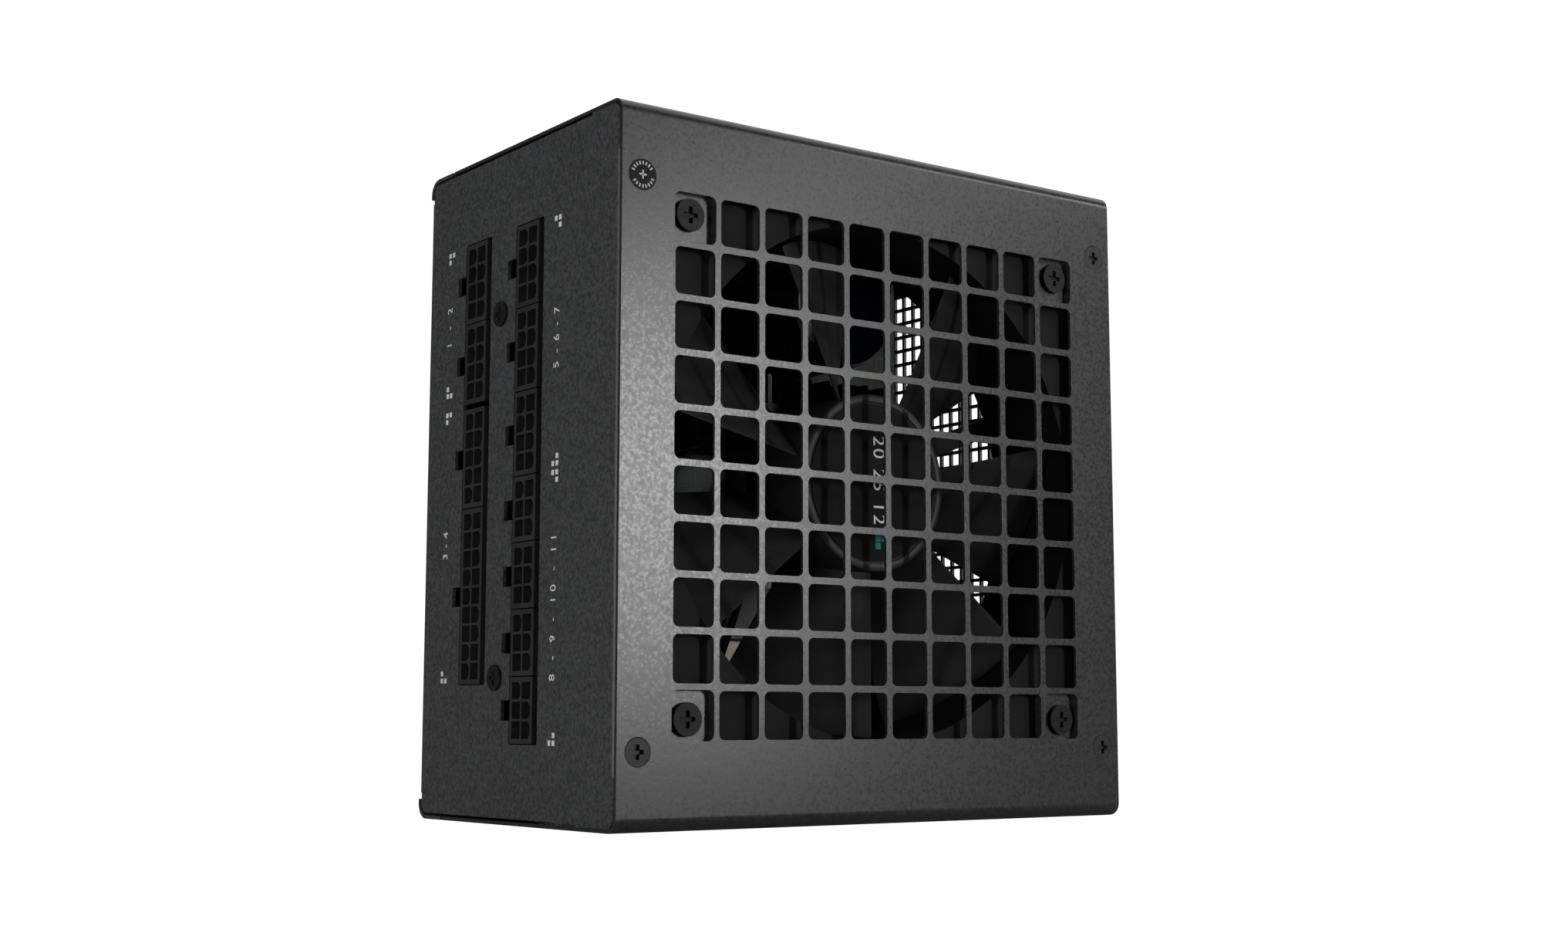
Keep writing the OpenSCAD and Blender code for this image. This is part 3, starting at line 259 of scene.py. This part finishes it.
coatLook = {
    "color": (0.018, 0.0184, 0.0192), "roughness": 0.29, "grain": 1250, "depth": 0.000009, "fleck": 0.3,
}
panelLook = {
    "color": (0.038, 0.0385, 0.040), "roughness": 0.5, "grain": 1350, "depth": 0.00004, "fleck": 0.45,
}
finishes = {
    "case_coat": powderCoat("caseCoat", **coatLook),
    "panel_coat": powderCoat("panelCoat", **panelLook),
    "black_print": moulded("stickerFilm", (0.006, 0.006, 0.0065), 0.55, shine=0.15),
    "dark_screw": brushedMetal("blackZinc", (0.04, 0.04, 0.042), 0.5),
    "zinc_screw": brushedMetal("screwPlate", (0.02, 0.02, 0.021), 0.5),
    "fan_plastic": moulded("fanFramePlastic", (0.006, 0.0062, 0.0068), 0.6, 2600, 0.00001, shine=0.12),
    "rotor_plastic": moulded("rotorPlastic", (0.016, 0.0163, 0.0172), 0.46, 2600, 0.000006, shine=0.22),
    "badge_film": moulded("badgeFilm", (0.004, 0.004, 0.0044), 0.6, shine=0.08),
    "steel": brushedMetal("drawnSteel", (0.5, 0.5, 0.51), 0.35),
    "magnet": moulded("bondedMagnet", (0.05, 0.05, 0.05), 0.6, 3000, 0.00003),
    "shaft_steel": brushedMetal("groundShaft", (0.62, 0.62, 0.63), 0.2, (2500, 60, 2500)),
    "bronze": brushedMetal("sinteredBronze", (0.5, 0.34, 0.14), 0.5),
    "lamination": brushedMetal("coreSheets", (0.32, 0.33, 0.34), 0.45, (20, 5000, 20), 0.00002),
    "copper_wire": woundWire("copperTurns", (0.55, 0.2, 0.07), (2400, 300, 2400)),
    "copper_bar": brushedMetal("copperBar", (0.6, 0.28, 0.15), 0.35),
    "board": boardLaminate("boardLaminate", (0.012, 0.05, 0.022), (0.02, 0.09, 0.035)),
    "lead_black": moulded("blackLead", (0.012, 0.012, 0.012), 0.45),
    "wire_jacket": moulded("brownLead", (0.12, 0.045, 0.02), 0.45),
    "socket_nylon": moulded("socketNylon", (0.017, 0.0172, 0.018), 0.42, 3000, 0.00001),
    "pin_gold": brushedMetal("goldPin", (0.6, 0.42, 0.14), 0.3),
    "brass_post": brushedMetal("turnedBrass", (0.55, 0.4, 0.17), 0.3, (2500, 60, 2500)),
    "mains_plastic": moulded("mainsPlastic", (0.014, 0.014, 0.0145), 0.4, 3000, 0.00001),
    "rocker_plastic": moulded("rockerPlastic", (0.014, 0.014, 0.015), 0.22, 3000, 0.000003, 0.4),
    "tinned": brushedMetal("tinPlate", (0.6, 0.6, 0.6), 0.3, (60, 2500, 2500)),
    "fibre_sheet": moulded("fibreSheet", (0.02, 0.02, 0.02), 0.7, 1500, 0.00003),
    "can_sleeve": moulded("shrinkSleeve", (0.012, 0.016, 0.035), 0.25, 1500, 0.000004, 0.5),
    "ferrite": moulded("ferriteCore", (0.035, 0.035, 0.037), 0.55, 2200, 0.00003),
    "tape": moulded("polyesterTape", (0.28, 0.19, 0.03), 0.3, 900, 0.00001, 0.5),
    "bobbin": moulded("bobbinPlastic", (0.015, 0.015, 0.016), 0.4),
    "sink_aluminium": brushedMetal("blackAnodised", (0.05, 0.05, 0.055), 0.45, (2500, 60, 2500)),
    "package": moulded("epoxyPackage", (0.014, 0.014, 0.015), 0.5, 2500, 0.00001),
    "film_case": moulded("filmCase", (0.55, 0.40, 0.05), 0.32, 2500, 0.000005, 0.3),
    "disc_blue": moulded("blueDisc", (0.03, 0.11, 0.33), 0.3, 1500, 0.00001, 0.5),
    "disc_green": moulded("greenDisc", (0.03, 0.09, 0.04), 0.6, 1800, 0.00003),
    "choke_paint": moulded("chokePaint", (0.04, 0.14, 0.08), 0.35, 1500, 0.00001, 0.5),
    "relay_case": moulded("relayCase", (0.02, 0.05, 0.18), 0.3),
}
for name, node in nodes.items():
    node.material_slots[0].material = finishes[slotOfNode[name]]
print("finishes made:", len(finishes))


# mesh helpers

def sharpEdges(shape, degrees):
    paired = [edge for edge in shape.edges if len(edge.link_faces) == 2]
    return [edge for edge in paired if edge.calc_face_angle(0) > math.radians(degrees)]


def finishPiece(shape, name, material, body, stands=()):
    for face in shape.faces:
        face.smooth = True
    for edge in shape.edges:
        edge.smooth = True
    for edge in sharpEdges(shape, 28):
        edge.smooth = False
    mesh = bpy.data.meshes.new(name)
    shape.to_mesh(mesh)
    shape.free()
    mesh.materials.append(material)
    piece = bpy.data.objects.new(name, mesh)
    bpy.context.scene.collection.objects.link(piece)
    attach(piece, body)
    if stands:
        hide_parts(*stands)
    return piece


def mergeFlats(shape):
    bmesh.ops.remove_doubles(shape, verts=shape.verts, dist=0.002 * mm)
    bmesh.ops.dissolve_limit(shape, angle_limit=math.radians(0.5), verts=shape.verts, edges=shape.edges)


# Removes the faces that two solids share where they touch, so that they join into one skin
def dropSharedFaces(shape):
    seen = {}
    for face in shape.faces:
        center = face.calc_center_median() / (0.01 * mm)  # solids meet to a hundredth of a millimetre
        seen.setdefault((round(center.x), round(center.y), round(center.z)), []).append(face)
    shared = [face for faces in seen.values() if len(faces) == 2 for face in faces]
    bmesh.ops.delete(shape, geom=shared, context="FACES")
    mergeFlats(shape)


# A merged copy of one or more CAD nodes with its sharp edges rounded
def softCopy(members, edge, segments=2, sharp=25):  # edge in millimetres, sharp in degrees
    shape = bmesh.new()
    for member in members:
        single = bmesh.new()
        single.from_mesh(nodes[member].data)
        mergeFlats(single)
        flat = bpy.data.meshes.new("merged")
        single.to_mesh(flat)
        single.free()
        shape.from_mesh(flat)
        bpy.data.meshes.remove(flat)
    if len(members) > 1:
        dropSharedFaces(shape)
    bmesh.ops.bevel(
        shape, geom=sharpEdges(shape, sharp), offset=edge * mm, offset_type="OFFSET", affect="EDGES",
        segments=segments, profile=0.5, material=-1, clamp_overlap=True, loop_slide=True,
    )
    first = members[0]
    slot = slotOfNode[first]
    name = first.replace("_", "") + "Soft"
    piece = finishPiece(shape, name, finishes[slot], bodyOfNode[first], members)
    weigh = piece.modifiers.new("flatFaces", "WEIGHTED_NORMAL")
    weigh.keep_sharp = True
    weigh.weight = 80
    return piece


# Rounding of each node's edges in millimetres; the two nodes of the folded cover become one piece
edgeRounds = {
    ("fan_cover", "fan_grille"): 0.22, ("base_shell",): 0.16, ("cover_screws",): 0.12,
    ("fan_screws",): 0.15, ("panel_screws",): 0.12, ("fan_frame",): 0.3, ("sockets_8pin",): 0.12,
    ("sockets_6pin",): 0.12, ("socket_10pin",): 0.12, ("socket_18pin",): 0.12, ("ac_inlet",): 0.3,
    ("inlet_pins",): 0.25, ("switch_body",): 0.25, ("switch_rocker",): 0.35,
}
for members, edge in edgeRounds.items():
    softCopy(members, edge)
    print("edges rounded on", *members)


# rotor with smooth hub and blades

rotorLook = {
    "hubRadius": 20, "ringRound": 0.6,                # the hub and the rounding of its front rim
    "discRadius": 17.7, "discDrop": 0.4,              # the disc in the middle lies behind the rim
    "wallRadius": 18.1, "topThick": 2, "bore": 4.4,   # the hub's inside
    "bladeCount": 7, "bladeSweep": 34, "bladeThickness": 1.8, "bladeDepth": 16.3, "bladeBack": 0.4,
    "bladeSink": 0.8, "tipGap": 0.05, "tipRound": 1.5, "radialSteps": 14, "aroundSteps": 36,
}


def spinProfile(shape, profile, steps=96):
    corners = [shape.verts.new((radius * mm, depth * mm, 0)) for radius, depth in profile]
    edges = [shape.edges.new(pair) for pair in zip(corners, corners[1:])]
    bmesh.ops.spin(
        shape, geom=corners + edges, cent=(0, 0, 0), axis=(0, 1, 0), angle=2 * math.pi, steps=steps,
        use_merge=True,
    )
    bmesh.ops.remove_doubles(shape, verts=shape.verts, dist=0.003 * mm)
    bmesh.ops.recalc_face_normals(shape, faces=shape.faces)


# One blade: an oval section round a surface that sweeps back from a straight front edge
def addBlade(shape, turn, hubRadius, tipRadius, frontY, backY):
    steps, rings = rotorLook["aroundSteps"], rotorLook["radialSteps"]
    grid = bmesh.ops.create_grid(shape, x_segments=steps, y_segments=rings, size=0.5)["verts"]
    for vert in grid:
        around, out = 2 * math.pi * (vert.co.x + 0.5), vert.co.y + 0.5
        radius = hubRadius + (tipRadius - hubRadius) * out
        share = 0.5 - 0.5 * math.cos(around)
        thin = min(1, 0.25 + (tipRadius - radius) / rotorLook["tipRound"])
        half = rotorLook["bladeThickness"] / 2 * thin * math.sin(around) * (0.75 + 0.25 * math.cos(around))
        angle = turn - math.radians(rotorLook["bladeSweep"]) * share
        across = Vector((-math.sin(angle), 0, math.cos(angle))) * half
        depth = frontY + (backY - frontY) * share
        vert.co = (Vector((math.cos(angle) * radius, depth, math.sin(angle) * radius)) + across) * mm
    bmesh.ops.remove_doubles(shape, verts=grid, dist=0.003 * mm)
    rims = [edge for edge in shape.edges if edge.is_boundary]
    bmesh.ops.holes_fill(shape, edges=rims, sides=0)


def makeRotor():
    low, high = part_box("fan_rotor")
    middle = Vector(((low.x + high.x) / 2, 0, (low.z + high.z) / 2))
    tip = (high.x - low.x) / 2 / mm
    front, back = low.y / mm, high.y / mm
    hub, wall, rim = rotorLook["hubRadius"], rotorLook["wallRadius"], rotorLook["ringRound"]
    disc, drop = rotorLook["discRadius"], rotorLook["discDrop"]
    inside = front + rotorLook["topThick"]
    profile = [
        (0, front + drop), (disc, front + drop), (disc + drop * 0.75, front + drop * 0.75),
        (disc + drop, front + drop / 4), (disc + drop * 1.5, front), (hub - rim, front),
        (hub - rim / 3, front + rim / 3), (hub, front + rim), (hub, back), (wall, back), (wall, inside),
        (rotorLook["bore"], inside),
    ]
    shape = bmesh.new()
    spinProfile(shape, profile)
    bladeEnd = back - rotorLook["bladeBack"]
    bladeStart = bladeEnd - rotorLook["bladeDepth"]
    for blade in range(rotorLook["bladeCount"]):
        turn = math.radians(-90 + 360 * blade / rotorLook["bladeCount"])
        addBlade(shape, turn, hub - rotorLook["bladeSink"], tip - rotorLook["tipGap"], bladeStart, bladeEnd)
    bmesh.ops.recalc_face_normals(shape, faces=shape.faces)
    bmesh.ops.translate(shape, verts=shape.verts, vec=middle)
    finishPiece(shape, "rotorSmooth", finishes["rotor_plastic"], "rotor", ["fan_rotor"])


makeRotor()
print("rotor made")


# printed marks

inkWhite = moulded("whiteInk", (0.62, 0.62, 0.62), 0.6, shine=0.2)
inkTeal = moulded("tealInk", (0.0, 0.19, 0.17), 0.6, shine=0.2)
printLook = {"thickness": 0.03, "lift": 0.02}


def printPiece(shape, name, material, body):
    for vert in shape.verts:
        vert.co *= mm
    bmesh.ops.recalc_face_normals(shape, faces=shape.faces)
    return finishPiece(shape, name, material, body)


def addTile(shape, low, high):
    cube = bmesh.ops.create_cube(shape, size=1)["verts"]
    low, high = Vector(low), Vector(high)
    for vert in cube:
        vert.co = [(low[i] + high[i]) / 2 + vert.co[i] * (high[i] - low[i]) for i in range(3)]
    return cube


# Text as a flat mesh: its own x runs along "along", its own y along "up"
def addText(shape, words, height, center, along, up, spread=1.0):
    curve = bpy.data.curves.new("words", "FONT")
    curve.body = words
    curve.size = height / 0.7
    curve.space_character = spread
    curve.align_x = "CENTER"
    curve.align_y = "CENTER"
    curve.extrude = printLook["thickness"] / 2
    holder = bpy.data.objects.new("words", curve)
    flat = holder.to_mesh()
    along, up = Vector(along), Vector(up)
    place = Matrix((along, up, along.cross(up))).transposed().to_4x4()
    flat.transform(Matrix.Translation(Vector(center)) @ place)
    shape.from_mesh(flat)
    holder.to_mesh_clear()
    bpy.data.objects.remove(holder)
    bpy.data.curves.remove(curve)


# Rows of sockets: the edge where their marks stand, the side that it is on, and the ends of each group
panelPrintLook = {
    "rows": ((32.5, 1, ((130, 96.8), (92.3, 31.2))), (-18.2, -1, ((129.3, 76.2), (74.3, 17.6)))),
    "labels": (
        (32, 112.8, "1 - 2", 1.6), (32, 62, "3 - 4", 1.1), (-17.4, 103.2, "5 - 6 - 7", 1.25),
        (-17.4, 45.8, "8 - 9 - 10 - 11", 1.6),
    ),
    "letterHeight": 2.2, "square": 1.1, "stepAcross": 1.7, "stepUp": 1.6,
}


# Corner mark of three squares; sideY and sideZ say where its corner is
def addCornerMark(shape, x, y, z, sideY, sideZ):
    square = panelPrintLook["square"]
    for across, up in ((0, 0), (1, 0), (0, 1)):
        lowY = y - sideY * panelPrintLook["stepAcross"] * across - square / 2
        lowZ = z - sideZ * panelPrintLook["stepUp"] * up - square / 2
        addTile(shape, (x - printLook["thickness"], lowY, lowZ), (x, lowY + square, lowZ + square))


def makePanelPrint():
    shape = bmesh.new()
    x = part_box("base_shell")[0].x / mm - printLook["lift"]
    for y, side, groups in panelPrintLook["rows"]:
        for top, bottom in groups:
            addCornerMark(shape, x, y, top, side, 1)
            addCornerMark(shape, x, y, bottom, side, -1)
    for y, z, words, spread in panelPrintLook["labels"]:
        place = (x - printLook["thickness"] / 2, y, z)
        addText(shape, words, panelPrintLook["letterHeight"], place, (0, 0, 1), (0, 1, 0), spread)
    printPiece(shape, "panelPrint", inkWhite, "case")


# The fan's width, depth and voltage in a line down the hub, and an arrow of three squares below it
hubPrintLook = {
    "words": "120 25 12", "letterHeight": 3.3, "spread": 1.2, "wordsAt": (1.2, 2), "arrowAt": (0.2, -13.2),
    "square": 1.5, "step": 1.7,
}


def makeHubPrint():
    low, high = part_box("hub_badge")
    middleX, middleZ = (low.x + high.x) / 2 / mm, (low.z + high.z) / 2 / mm
    y = low.y / mm - printLook["lift"]
    words = bmesh.new()
    place = (middleX + hubPrintLook["wordsAt"][0], y, middleZ + hubPrintLook["wordsAt"][1])
    height, spread = hubPrintLook["letterHeight"], hubPrintLook["spread"]
    addText(words, hubPrintLook["words"], height, place, (0, 0, -1), (1, 0, 0), spread)
    printPiece(words, "hubPrint", inkWhite, "rotor")
    arrow = bmesh.new()
    square, step = hubPrintLook["square"], hubPrintLook["step"]
    for across, up in ((0, 0), (1, 0), (0, -1)):
        lowX = middleX + hubPrintLook["arrowAt"][0] + across * step
        lowZ = middleZ + hubPrintLook["arrowAt"][1] + up * step
        addTile(arrow, (lowX, y - printLook["thickness"], lowZ), (lowX + square, y, lowZ + square))
    printPiece(arrow, "hubArrow", inkTeal, "rotor")


# Two arcs of dashes round a plus sign
sealLook = {
    "dashes": 20, "gaps": (4, 5, 14, 15), "dashFrom": 2.1, "dashTo": 2.85, "dashHalf": 0.16,
    "plusLong": 0.9, "plusWide": 0.18, "thickness": 0.012,
}


def makeSealPrint():
    low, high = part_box("seal_sticker")
    centerX, centerZ = (low.x + high.x) / 2 / mm, (low.z + high.z) / 2 / mm
    back = low.y / mm
    front = back - sealLook["thickness"]
    half, wide, long = sealLook["dashHalf"], sealLook["plusWide"], sealLook["plusLong"]
    shape = bmesh.new()
    for step in range(sealLook["dashes"]):
        if step in sealLook["gaps"]:
            continue
        tile = addTile(shape, (-half, front, sealLook["dashFrom"]), (half, back, sealLook["dashTo"]))
        turn = Matrix.Rotation(2 * math.pi * step / sealLook["dashes"], 4, "Y")
        bmesh.ops.transform(shape, matrix=Matrix.Translation((centerX, 0, centerZ)) @ turn, verts=tile)
    for x, z in ((long, wide), (wide, long)):
        addTile(shape, (centerX - x, front, centerZ - z), (centerX + x, back, centerZ + z))
    printPiece(shape, "sealPrint", inkWhite, "case")


# The bar and the ring on the two halves of the rocker, in its own frame: x outwards, z up, y along its axle
rockerLook = {
    "travel": 22, "faceDepth": 1.83, "faceMiddle": 2.6, "faceTilt": 5.1, "barLength": 3, "barWidth": 0.5,
    "ringOuter": 1.4, "ringInner": 0.95,
}


def addRing(shape, inner, outer, thickness):
    corners = [(0, inner), (thickness, inner), (thickness, outer), (0, outer)]
    ring = [shape.verts.new((depth, 0, radius)) for depth, radius in corners]
    edges = [shape.edges.new(pair) for pair in zip(ring, ring[1:] + ring[:1])]
    bmesh.ops.spin(
        shape, geom=ring + edges, cent=(0, 0, 0), axis=(1, 0, 0), angle=2 * math.pi, steps=32,
        use_merge=True,
    )


def makeRockerPrint():
    axle = next(joint for joint in behaviour["joints"] if joint["name"] == "switch_rock")
    shape = bmesh.new()
    for side in (1, -1):
        before = set(shape.verts)
        if side > 0:
            halfWide, halfLong = rockerLook["barWidth"] / 2, rockerLook["barLength"] / 2
            addTile(shape, (0, -halfLong, -halfWide), (printLook["thickness"], halfLong, halfWide))
        else:
            addRing(shape, rockerLook["ringInner"], rockerLook["ringOuter"], printLook["thickness"])
        made = [vert for vert in shape.verts if vert not in before]
        tilt = Matrix.Rotation(math.radians(side * rockerLook["faceTilt"]), 4, "Y")
        out = Matrix.Translation((rockerLook["faceDepth"], 0, side * rockerLook["faceMiddle"]))
        rest = Matrix.Rotation(math.radians(rockerLook["travel"] / 2), 4, "Y")
        center = Matrix.Translation(Vector(axle["pos_m"]) / mm)
        bmesh.ops.transform(shape, matrix=center @ rest @ out @ tilt, verts=made)
    bmesh.ops.remove_doubles(shape, verts=shape.verts, dist=0.001)
    printPiece(shape, "rockerPrint", inkWhite, "rocker")


makePanelPrint()
makeHubPrint()
makeSealPrint()
makeRockerPrint()
print("print made")


# camera

cameraLook = {"place": (-0.28529, -0.39047, 0.02232), "yaw": 36.435, "pitch": 7.18, "lens": 46.87}


def makeCamera():
    data = bpy.data.cameras.new("viewCamera")
    data.sensor_width = 36
    data.lens = cameraLook["lens"]
    data.clip_start = 0.01
    camera = bpy.data.objects.new("viewCamera", data)
    bpy.context.scene.collection.objects.link(camera)
    camera.location = cameraLook["place"]
    camera.rotation_euler = (math.radians(90 + cameraLook["pitch"]), 0, -math.radians(cameraLook["yaw"]))
    bpy.context.scene.camera = camera


makeCamera()
print("camera placed")


# floor, world and lights

stageLook = {
    "floorColor": 0.45, "floorGlow": 0.98, "floorSize": 6, "floorDrop": 0.00005, "backdrop": 1.05,
    "fillColor": (0.94, 0.97, 1, 1), "fill": 0.08,
}
# place, aim, width and height in metres, and watts
softboxes = {
    "keyBox": ((0.37, -0.72, 0.165), (-0.066, -0.043, 0.07), (0.1, 0.22), 2.0),
    "frontBox": ((0.85, -0.75, 0.62), (0, -0.043, 0.12), (0.5, 0.2), 2.2),
    "topBox": ((0.25, 0.15, 0.8), (0, 0, 0.1), (1.0, 1.0), 3.2),
    "sideBox": ((-1.0, -0.25, 0.08), (-0.07, 0, 0.075), (0.8, 0.14), 5.5),
}


def makeFloor():
    shape = bmesh.new()
    bmesh.ops.create_grid(shape, x_segments=1, y_segments=1, size=stageLook["floorSize"])
    bmesh.ops.translate(shape, verts=shape.verts, vec=(0, 0, cadLow.z - stageLook["floorDrop"]))
    mesh = bpy.data.meshes.new("floor")
    shape.to_mesh(mesh)
    shape.free()
    pale = shade((1, 1, 1), stageLook["floorColor"])
    material, tree, shader = newMaterial("paleFloor", {"Base Color": pale, "Roughness": 0.9})
    path = addNode(tree, "ShaderNodeLightPath")
    glow = addMath(tree, "MULTIPLY", path.outputs["Is Camera Ray"], stageLook["floorGlow"])
    feed(tree, shader, {"Emission Color": (1, 1, 1, 1), "Emission Strength": glow})
    mesh.materials.append(material)
    floor = bpy.data.objects.new("floor", mesh)
    bpy.context.scene.collection.objects.link(floor)


def makeWorld():
    world = bpy.data.worlds.new("paleStudio")
    world.use_nodes = True
    bpy.context.scene.world = world
    tree = world.node_tree
    tree.nodes.clear()
    path = addNode(tree, "ShaderNodeLightPath")
    seenInputs = {"Color": (1, 1, 1, 1), "Strength": stageLook["backdrop"]}
    seen = addNode(tree, "ShaderNodeBackground", seenInputs).outputs[0]
    fillInputs = {"Color": stageLook["fillColor"], "Strength": stageLook["fill"]}
    fill = addNode(tree, "ShaderNodeBackground", fillInputs).outputs[0]
    mix = addNode(tree, "ShaderNodeMixShader", {0: path.outputs["Is Camera Ray"], 1: fill, 2: seen})
    addNode(tree, "ShaderNodeOutputWorld", {"Surface": mix.outputs[0]})


def addSoftbox(name, place, aim, size, power):
    data = bpy.data.lights.new(name, "AREA")
    data.shape = "RECTANGLE"
    data.size, data.size_y = size
    data.energy = power
    light = bpy.data.objects.new(name, data)
    bpy.context.scene.collection.objects.link(light)
    light.location = place
    light.rotation_euler = (Vector(aim) - Vector(place)).to_track_quat("-Z", "Y").to_euler()


makeFloor()
makeWorld()
for name, (place, aim, size, power) in softboxes.items():
    addSoftbox(name, place, aim, size, power)
bpy.context.scene.view_settings.view_transform = "Standard"
print("stage lit")
